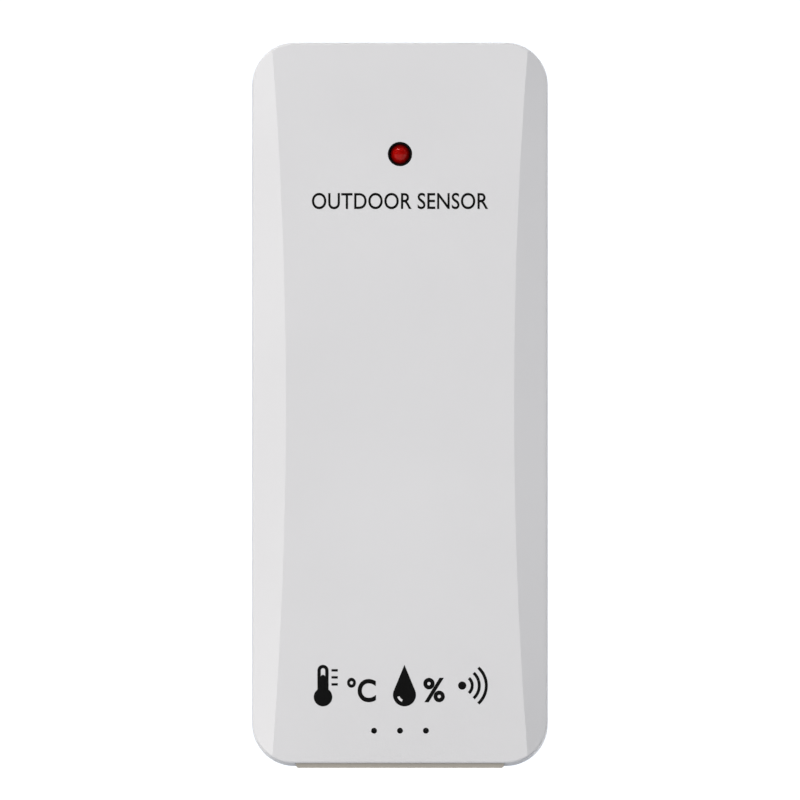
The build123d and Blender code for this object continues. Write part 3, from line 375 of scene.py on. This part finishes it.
def cellFilm(name, look):
    # Printed PET film shrunk on a cell: a copper band at the positive end, a dark body and a thin
    # line between them, under a clear glossy layer. The "along" attribute runs from - to +.
    material, tree, shader, scale = newMaterial(name)
    along = addNode(tree, "ShaderNodeAttribute", {"attribute_name": "along"})
    bands = addNode(tree, "ShaderNodeValToRGB", {}, {"Fac": (along, "Fac")})
    ramp = bands.color_ramp
    ramp.interpolation = "CONSTANT"
    ramp.elements[0].color = linearColor(look["foot"])
    ramp.elements[1].position = 0.03
    ramp.elements[1].color = linearColor(look["body"])
    for position, color in ((look["lineAt"], look["line"]), (look["gapAt"], look["body"]),
                            (look["bandAt"], look["band"])):
        ramp.elements.new(position).color = linearColor(color)
    flakes = noise(tree, (scale, "Vector"), 0.25, 2.0, 0.7)
    tone = mixColors(tree, rangeOf(tree, (flakes, 0), 0, 0.06), (bands, "Color"), look["line"])
    ripples = noise(tree, (scale, "Vector"), 3.0, 2.0)
    bump = addNode(tree, "ShaderNodeBump", {"Strength": 0.12, "Distance": 0.05 * mm},
                   {"Height": (ripples, 0)})
    gloss = rangeOf(tree, (flakes, 0), 0.2, 0.32)
    setShader(tree, shader, {"IOR": 1.55, "Metallic": 0.35, "Coat Weight": 0.7, "Coat Roughness": 0.06},
              {"Base Color": tone, "Roughness": gloss, "Normal": (bump, "Normal")})
    return material


wrapFilm = cellFilm("petFilmPrinted", {
    "foot": "#2A2C30", "body": "#2B3440", "line": "#D8D6CF", "band": "#B46A32",
    "lineAt": 0.70, "gapAt": 0.715, "bandAt": 0.73,  # as shares of the cell's length, from its flat end
})
print("materials made")

finishes = {
    whiteAbs: ["front_cover", "back_case", "battery_door"],
    shadedStandAbs: ["table_stand"],
    zincSteel: ["case_screws", "board_screws"],
    boardGreen: ["main_board", "radio_board"],
    redLens: ["status_led"],
    sleeveGapShade: ["led_sleeve"],
    tinnedCopper: ["led_leads", "capacitor_leads", "humidity_leads", "thermistor_leads", "radio_pins",
                   "switch_pins", "controller_pins"],
    chipEpoxy: ["controller_chip", "radio_chip"],
    steelCan: ["clock_crystal", "radio_crystal", "channel_switch"],
    glazedResistor: ["chip_resistors"],
    firedCeramic: ["chip_capacitors"],
    capacitorSleeve: ["smoothing_capacitor"],
    enamelledCopper: ["antenna_coil"],
    dippedEpoxy: ["thermistor"],
    blackPom: ["button_body", "channel_slider", "humidity_element"],
    redPom: ["button_cap"],
    wrapFilm: ["left_cell", "right_cell"],
    nickelSteel: ["left_spring", "right_spring"],
    nickelSheet: ["link_plate", "positive_plate", "negative_plate"],
}
for material, names in finishes.items():
    for name in names:
        for slot in cadNodes[name].material_slots:
            slot.material = material
print("CAD nodes finished")

coverLow, coverHigh = boxOf("front_cover")
lightLow, lightHigh = boxOf("status_led")
faceY = coverLow[1]
lightZ = (lightLow[2] + lightHigh[2]) / 2


def flatMesh(name, curve, material):  # a filled text or curve as a mesh, its points in the curve's own units
    holder = bpy.data.objects.new(name + "Curve", curve)
    bpy.context.scene.collection.objects.link(holder)
    bpy.context.view_layer.update()
    mesh = bpy.data.meshes.new_from_object(holder.evaluated_get(bpy.context.evaluated_depsgraph_get()))
    bpy.data.objects.remove(holder)
    mesh.name = name
    mesh.materials.clear()
    mesh.materials.append(material)
    piece = bpy.data.objects.new(name, mesh)
    bpy.context.scene.collection.objects.link(piece)
    fixNormals(piece)
    return piece


def textMesh(name, body, material, thicken, spacing=1.0):
    curve = bpy.data.curves.new(name, "FONT")
    curve.body = body
    curve.align_x = "CENTER"
    curve.extrude = 0.5  # a unit thick, scaled to the ink's thickness when it is placed
    curve.offset = thicken
    curve.space_character = spacing
    curve.resolution_u = 6
    return flatMesh(name, curve, material)


def fitFlat(piece, width, height, thickness):  # centred, with the given size in millimetres
    flat = meshPoints(piece) * mm
    low, high = flat.min(0), flat.max(0)
    return (flat - (low + high) / 2) / (high - low) * np.array([width, height, thickness])


def fitHeight(piece, height, thickness):  # the same, with the width kept in proportion
    flat = meshPoints(piece) * mm
    low, high = flat.min(0), flat.max(0)
    across = height / (high[1] - low[1])
    return (flat - (low + high) / 2) * np.array([across, across, thickness / (high[2] - low[2])])


def onFront(piece, flat, x, z, depthY):  # flat x, y, z become right, up and towards the front
    movePoints(piece, np.stack([x + flat[:, 0], depthY - flat[:, 2], z + flat[:, 1]], axis=1))


def onBack(piece, flat, x, z, depthY):  # the same for a surface that is read from behind
    movePoints(piece, np.stack([x - flat[:, 0], depthY + flat[:, 2], z + flat[:, 1]], axis=1))


lineLook = {"text": "OUTDOOR SENSOR", "width": 23.8, "height": 2.2, "below": 6.35, "ink": 0.02,
            "thicken": 0.008, "spacing": 1.02}
printedLine = textMesh("printedLine", lineLook["text"], blackInk, lineLook["thicken"], lineLook["spacing"])
onFront(printedLine, fitFlat(printedLine, lineLook["width"], lineLook["height"], lineLook["ink"]),
        0, lightZ - lineLook["below"], faceY - lineLook["ink"] / 2)
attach(printedLine, "case")


def arc(x, y, radius, start, end, count=24):  # points of a circular arc, angles in degrees
    angles = np.radians(np.linspace(start, end, count))
    return np.stack([x + radius * np.cos(angles), y + radius * np.sin(angles)], axis=1)


def outlineMesh(name, loops, material):  # a flat shape from closed loops of points; inner loops are holes
    curve = bpy.data.curves.new(name, "CURVE")
    curve.dimensions = "2D"
    curve.fill_mode = "BOTH"
    curve.extrude = 0.5
    for loop in loops:
        spline = curve.splines.new("POLY")
        spline.points.add(len(loop) - 1)
        flat = np.concatenate([loop, np.zeros((len(loop), 1)), np.ones((len(loop), 1))], axis=1)
        spline.points.foreach_set("co", flat.ravel())
        spline.use_cyclic_u = True
    return flatMesh(name, curve, material)


markLook = {"rise": 10.85, "height": 5.6, "ink": 0.02, "thermometerX": -10.4, "degreeX": -5.2,
            "degreeWidth": 3.9, "dropX": 0.6, "percentX": 4.6, "percentWidth": 2.9, "wavesX": 8.4,
            "letterHeight": 3.3, "lettersBelow": 0.6, "thicken": 0.025}


def thermometerLoops():  # a stem with a round top and bulb, the bore left open, and three ticks
    stem, bulb, half = 0.75, 1.25, markLook["height"] / 2
    join = math.degrees(math.acos(stem / bulb))
    bulbY, topY = bulb - half, half - stem
    outside = np.concatenate([arc(0, bulbY, bulb, 180 - join, 360 + join, 40),
                              arc(0, topY, stem, 0, 180, 20)])
    boreRadius, boreLength = 0.3, 0.9
    bore = np.concatenate([arc(0, topY - boreLength, boreRadius, 180, 0, 10),
                           arc(0, topY, boreRadius, 0, 180, 10)])
    tickLow, tickHigh, tickHeight = 1.15, 2.0, 0.32
    ticks = [np.array([[tickLow, y], [tickHigh, y], [tickHigh, y + tickHeight], [tickLow, y + tickHeight]])
             for y in (0.0, 0.95, 1.9)]
    return [outside, bore[::-1], *ticks]


def dropLoops():  # a teardrop: a round foot whose sides run straight to a point
    radius, tip = 1.55, markLook["height"] / 2
    foot = radius - tip
    touch = math.degrees(math.acos(radius / (tip - foot)))
    outside = np.concatenate([arc(0, foot, radius, 90 + touch, 450 - touch, 48), [[0, tip]]])
    shine = np.concatenate([arc(0, foot, 1.0, 195, 250, 12), arc(0, foot, 0.68, 250, 195, 12)])
    return [outside, shine[::-1]]


def waveLoops():  # a dot with three widening arcs
    loops = [arc(0, 0, 0.55, 0, 352.5, 40)]
    half, spread = 0.2, 48  # half the line's width, and degrees to either side
    for radius in (1.35, 2.3, 3.25):
        loops.append(np.concatenate([arc(0, 0, radius + half, -spread, spread, 30),
                                     arc(0, 0, radius - half, spread, -spread, 30)]))
    return loops


markZ = coverLow[2] + markLook["rise"]
for name, loops, x in (
    ("markThermometer", thermometerLoops(), markLook["thermometerX"]),
    ("markDrop", dropLoops(), markLook["dropX"]),
    ("markWaves", waveLoops(), markLook["wavesX"]),
):
    piece = outlineMesh(name, loops, blackInk)
    flat = meshPoints(piece) * mm * np.array([1, 1, markLook["ink"]])
    onFront(piece, flat, x, markZ, faceY - markLook["ink"] / 2)
    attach(piece, "case")
for name, body, x, width in (
    ("markDegree", "°C", markLook["degreeX"], markLook["degreeWidth"]),
    ("markPercent", "%", markLook["percentX"], markLook["percentWidth"]),
):
    piece = textMesh(name, body, blackInk, markLook["thicken"])
    flat = fitFlat(piece, width, markLook["letterHeight"], markLook["ink"])
    onFront(piece, flat, x, markZ - markLook["lettersBelow"], faceY - markLook["ink"] / 2)
    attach(piece, "case")
print("front print made")

channelLook = {"numbers": "123", "height": 1.0, "below": 1.25, "ink": 0.02, "thicken": 0.02}
sliderLow, sliderHigh = boxOf("channel_slider")
channelX, channelZ = (sliderLow[0] + sliderHigh[0]) / 2, sliderLow[2] - channelLook["below"]
channelTravel = next(joint["range_m"][1] for joint in frame["record"]["behaviour"]["joints"]
                     if joint["name"] == "channel_slide") / mm
fromBehind = (channelX * mm, 0.1, channelZ * mm)
bayFloor = cadNodes["back_case"].ray_cast(fromBehind, (0, -1, 0))[1][1] / mm
for number, shift in zip(channelLook["numbers"], np.linspace(0, channelTravel, len(channelLook["numbers"]))):
    piece = textMesh("channel" + number, number, blackInk, channelLook["thicken"])
    flat = fitHeight(piece, channelLook["height"], channelLook["ink"])
    onBack(piece, flat, channelX + shift, channelZ, bayFloor + channelLook["ink"] / 2)
    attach(piece, "case")
print("channel numbers made")

cellLook = {"can": 5.14, "film": 5.25, "nub": 1.9, "nubHeight": 1.0, "filmStart": 0.45, "filmEnd": 0.15,
            "segments": 72, "filmRows": 60, "inkGap": 0.006, "ink": 0.012, "inkCuts": 14, "printAngle": 90.0}


def flipped(profile, length, nubUp):  # the profile upright, or turned over for a cell that stands on its nub
    profile = np.asarray(profile, float)
    return profile if nubUp else np.stack([profile[:, 0], length - profile[:, 1]], axis=1)[::-1]


def makeCell(node, nubUp):
    low, high = boxOf(node)
    length, centre = high[2] - low[2], ((low[0] + high[0]) / 2, (low[1] + high[1]) / 2, low[2])
    can, film, nub = cellLook["can"], cellLook["film"], cellLook["nub"]
    shoulder = length - cellLook["nubHeight"]
    steel = [  # a dished foot, a straight side, a rolled bead, the crimped rim, then the cap and its nub
        (0, 0.18), (3.3, 0.18), (3.7, 0.02), (4.2, 0.0), (4.6, 0.06), (4.95, 0.3), (can, 0.7),
        (can, shoulder - 1.7), (can - 0.12, shoulder - 1.35), (can - 0.12, shoulder - 1.15),
        (can, shoulder - 0.8), (can, shoulder - 0.35), (can - 0.2, shoulder - 0.05), (can - 0.5, shoulder),
        (can - 0.75, shoulder - 0.1), (can - 0.9, shoulder - 0.5), (2.75, shoulder - 0.5),
        (2.6, shoulder - 0.2), (2.2, shoulder - 0.12), (nub + 0.03, shoulder), (nub, shoulder + 0.2),
        (nub, length - 0.3), (nub - 0.1, length - 0.1), (nub - 0.35, length), (0, length),
    ]
    segments = cellLook["segments"]
    canPiece = revolved(node + "_can", flipped(steel, length, nubUp), centre, steelCan, segments)
    start, end = cellLook["filmStart"], shoulder - cellLook["filmEnd"]
    side = [(film, height) for height in np.linspace(start + 0.12, end - 0.2, cellLook["filmRows"])]
    section = [(can + 0.01, start), *side, (can - 0.1, end + 0.1), (can - 0.55, end + 0.17),
               (can - 0.55, end + 0.13), (can - 0.1, end + 0.04), (can + 0.01, end - 0.2)]
    filmPiece = revolved(node + "_film", flipped(section, length, nubUp), centre, wrapFilm, segments,
                         closed=True)
    along = (meshPoints(filmPiece)[:, 2] - low[2]) / length
    values = (along if nubUp else 1 - along).astype(np.float32)
    filmPiece.data.attributes.new("along", "FLOAT", "POINT").data.foreach_set("value", values)
    bore, rim = 2.85, can - 0.95
    ring = [(bore, shoulder - 0.52), (rim, shoulder - 0.52), (rim, shoulder - 0.25), (bore, shoulder - 0.25)]
    washer = revolved(node + "_washer", flipped(ring, length, nubUp), centre, washerPlastic, segments,
                      closed=True)
    for piece, slotName in ((canPiece, "steel_can"), (filmPiece, "cell_wrap"), (washer, "sensor_white")):
        fixNormals(piece)
        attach(piece, "case")
        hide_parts(node)
    return centre, length


def wrapText(name, body, centre, bottom, size, nubUp, thicken):
    # text that runs up the cell: its length goes along the axis and its height round the film
    piece = textMesh(name, body, whiteInk, thicken)
    shape = bmesh.new()
    shape.from_mesh(piece.data)
    points = np.array([v.co for v in shape.verts])
    for y in np.linspace(points[:, 1].min(), points[:, 1].max(), cellLook["inkCuts"])[1:-1]:
        everything = shape.verts[:] + shape.edges[:] + shape.faces[:]
        bmesh.ops.bisect_plane(shape, geom=everything, plane_co=(0, y, 0), plane_no=(0, 1, 0))
    shape.to_mesh(piece.data)
    shape.free()
    flat = meshPoints(piece) * mm
    low, high = flat.min(0), flat.max(0)
    flat = (flat - (low + high) / 2) / (high[1] - low[1]) * size
    radius = cellLook["film"] + cellLook["inkGap"] + cellLook["ink"] * (flat[:, 2] > 0)
    turn = 1 if nubUp else -1
    angle = math.radians(cellLook["printAngle"]) - turn * flat[:, 1] / cellLook["film"]
    movePoints(piece, np.stack([
        centre[0] + radius * np.cos(angle),
        centre[1] + radius * np.sin(angle),
        centre[2] + bottom + turn * flat[:, 0],
    ], axis=1))
    fixNormals(piece)
    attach(piece, "case")


cellPrint = {  # what is printed, how far up from the cell's flat end, its height and its extra weight
    "_size": ("AAA", 17.0, 3.6, 0.02),
    "_volts": ("1.5 V", 26.5, 2.2, 0.0),
    "_plus": ("+", 37.5, 2.4, 0.03),
}
for node, nubUp in (("left_cell", True), ("right_cell", False)):
    centre, length = makeCell(node, nubUp)
    for ending, (body, rise, size, thicken) in cellPrint.items():
        wrapText(node + ending, body, centre, rise if nubUp else length - rise, size, nubUp, thicken)
print("cells made")

springLook = {"wire": 0.3, "base": 3.1, "tip": 2.0, "turns": 4.5, "flatTurns": 0.6, "perTurn": 40}


def makeSpring(node, baseLow):
    # a conical helix: the radius shrinks evenly from base to tip, and a little over half a turn
    # lies flat at either end
    low, high = boxOf(node)
    centre = (low + high) / 2
    count = int(springLook["turns"] * springLook["perTurn"]) + 1
    turn, flatTurns = np.linspace(0, springLook["turns"], count), springLook["flatTurns"]
    rise = np.clip((turn - flatTurns) / (springLook["turns"] - 2 * flatTurns), 0, 1)
    radius = springLook["base"] + (springLook["tip"] - springLook["base"]) * turn / springLook["turns"]
    height = springLook["wire"] + rise * (high[2] - low[2] - 2 * springLook["wire"])
    z = low[2] + height if baseLow else high[2] - height
    angle = 2 * math.pi * turn
    path = np.stack([centre[0] + radius * np.cos(angle), centre[1] + radius * np.sin(angle), z], axis=1)
    piece = tube(node + "_wire", path, springLook["wire"], nickelSteel)
    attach(piece, "case")
    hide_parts(node)


makeSpring("left_spring", True)
makeSpring("right_spring", False)

aerialLook = {"wire": 0.3, "radius": 2.2, "turns": 11, "perTurn": 36, "leadPoints": 12, "sides": 10}


def makeAerial():  # close turns along X, then a straight lead down to the radio board
    low, high = boxOf("antenna_coil")
    radioLow, radioHigh = boxOf("radio_board")
    middleY = (low[1] + high[1]) / 2
    axisZ = high[2] - aerialLook["radius"] - aerialLook["wire"]
    startX, endX = low[0] + 2 * aerialLook["wire"], high[0] - aerialLook["wire"]
    turn = np.linspace(0, aerialLook["turns"], aerialLook["turns"] * aerialLook["perTurn"] + 1)
    angle = -math.pi / 2 + 2 * math.pi * turn
    coil = np.stack([
        startX + (endX - startX) * turn / aerialLook["turns"],
        middleY + aerialLook["radius"] * np.cos(angle),
        axisZ + aerialLook["radius"] * np.sin(angle),
    ], axis=1)
    foot = np.array([startX, (radioLow[1] + radioHigh[1]) / 2, low[2]])
    share = np.linspace(0, 1, aerialLook["leadPoints"])[:, None]
    bend = np.array([0, -0.25, -0.35])  # the lead stops just short of the first turn, which rounds the corner
    lead = foot + (coil[0] + bend - foot) * share
    piece = tube("aerial_wire", np.concatenate([lead, coil[1:]]), aerialLook["wire"], enamelledCopper,
                 reference=(1, 0.02, 0.03), sides=aerialLook["sides"])
    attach(piece, "case")
    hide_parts("antenna_coil")


makeAerial()
print("springs and aerial made")

stageLook = {"floor": "#F4F4F2", "floorShade": "#F1F1EF", "nearGlow": 0.25, "farGlow": 1.05,
             "glowStart": 180.0, "floorRadius": 700.0, "upperLight": 0.10, "lowerLight": 0.42, "horizon": 0.02,
             "surroundSeen": 1.2, "surroundTint": "#F2F7FF"}


def makeFloor():  # a painted disc that glows more towards its edge, where it meets the white surround
    material, tree, shader, scale = newMaterial("paintedFloor")
    clouds = noise(tree, (scale, "Vector"), 400.0)
    tone = mixColors(tree, rangeOf(tree, (clouds, 0), 0, 1), stageLook["floor"], stageLook["floorShade"])
    away = addNode(tree, "ShaderNodeVectorMath", {"operation": "LENGTH"}, {0: (scale, "Vector")})
    glow = rangeOf(tree, (away, "Value"), stageLook["nearGlow"], stageLook["farGlow"], stageLook["glowStart"],
                   stageLook["floorRadius"])
    setShader(tree, shader, {"Roughness": 0.85, "Emission Color": (1, 1, 1, 1)},
              {"Base Color": tone, "Emission Strength": glow})
    edge = arc(0, 0, stageLook["floorRadius"], 0, 357, 120)
    points = np.concatenate([edge, np.zeros((len(edge), 1))], axis=1)
    floor = makeMesh("floor", points, [tuple(range(len(points)))], material, smooth=False)
    floor.visible_diffuse = floor.visible_shadow = False  # the surround's even lower half lights the object


def makeWorld():
    # A white surround, dimmer as a light than it looks, so that the softboxes shape the object. Its lower
    # half is brighter than its upper half, as over a pale table.
    world = bpy.data.worlds.new("studio")
    bpy.context.scene.world = world
    world.use_nodes = True
    tree = world.node_tree
    surround = tree.nodes["Background"]
    surround.inputs["Color"].default_value = linearColor(stageLook["surroundTint"])
    direction = addNode(tree, "ShaderNodeTexCoord")
    height = addNode(tree, "ShaderNodeSeparateXYZ", {}, {0: (direction, "Generated")})
    halves = {"From Min": -stageLook["horizon"], "From Max": stageLook["horizon"],
              "To Min": stageLook["lowerLight"], "To Max": stageLook["upperLight"]}
    light = addNode(tree, "ShaderNodeMapRange", halves, {"Value": (height, "Z")})
    rays = addNode(tree, "ShaderNodeLightPath")
    strength = addNode(tree, "ShaderNodeMapRange", {"To Max": stageLook["surroundSeen"]},
                       {"Value": (rays, "Is Camera Ray"), "To Min": (light, "Result")})
    tree.links.new(strength.outputs["Result"], surround.inputs["Strength"])


def softbox(name, look, aim):  # azimuth turns from straight in front towards the left, lengths in metres
    light = bpy.data.lights.new(name, "AREA")
    light.shape = "RECTANGLE"
    light.energy, light.size, light.size_y = look["power"], look["width"], look["height"]
    light.color = linearColor(look["tint"])[:3]
    holder = bpy.data.objects.new(name, light)
    bpy.context.scene.collection.objects.link(holder)
    turn, lift = math.radians(look["azimuth"]), math.radians(look["elevation"])
    offset = np.array([-math.sin(turn) * math.cos(lift), -math.cos(turn) * math.cos(lift), math.sin(lift)])
    holder.location = (offset * look["distance"] + aim).tolist()
    holder.rotation_euler = (math.pi / 2 - lift, 0, -turn)
    holder.visible_camera = False
    holder.visible_glossy = look.get("mirrored", True)


makeFloor()
makeWorld()
aimPoint = np.array([0, 0, coverHigh[2] / 2]) * mm
softboxLooks = {
    "keySoftbox": {"power": 77.0, "width": 3.2, "height": 3.2, "azimuth": 37, "elevation": 8,
                   "distance": 3.0, "tint": "#FFFBF4", "mirrored": False},  # it would veil every gloss
    "topSoftbox": {"power": 11.0, "width": 0.7, "height": 0.34, "azimuth": 31, "elevation": 56,
                   "distance": 1.8, "tint": "#FFFFFF"},
    "overheadSoftbox": {"power": 4.0, "width": 1.6, "height": 1.2, "azimuth": 180, "elevation": 72,
                        "distance": 2.0, "tint": "#FFFFFF"},
    "sideSoftbox": {"power": 32.0, "width": 1.2, "height": 1.6, "azimuth": -112, "elevation": 18,
                    "distance": 2.4, "tint": "#FFFDF8"},
    "rearSoftbox": {"power": 28.0, "width": 2.0, "height": 2.0, "azimuth": 160, "elevation": 30,
                    "distance": 2.4, "tint": "#FFFFFF"},
}
for name, look in softboxLooks.items():
    softbox(name, look, aimPoint)

cameraLook = {"distance": 4000.0, "height": 0.6, "view": 108.08, "aimZ": 49.7, "aimY": -8.0, "sensor": 36.0}


def makeCamera():  # a long lens just above the floor, looking very slightly up
    data = bpy.data.cameras.new("camera")
    data.sensor_width = cameraLook["sensor"]
    data.lens = cameraLook["sensor"] * cameraLook["distance"] / cameraLook["view"]
    data.clip_start = 0.01
    data.clip_end = 100.0
    camera = bpy.data.objects.new("camera", data)
    bpy.context.scene.collection.objects.link(camera)
    position = np.array([0, cameraLook["aimY"] - cameraLook["distance"], cameraLook["height"]])
    rise = cameraLook["aimZ"] - cameraLook["height"]
    camera.location = (position * mm).tolist()
    camera.rotation_euler = (math.pi / 2 + math.atan2(rise, cameraLook["distance"]), 0, 0)
    bpy.context.scene.camera = camera


makeCamera()
bpy.context.scene.view_settings.view_transform = "Standard"
print("stage, light and camera made")
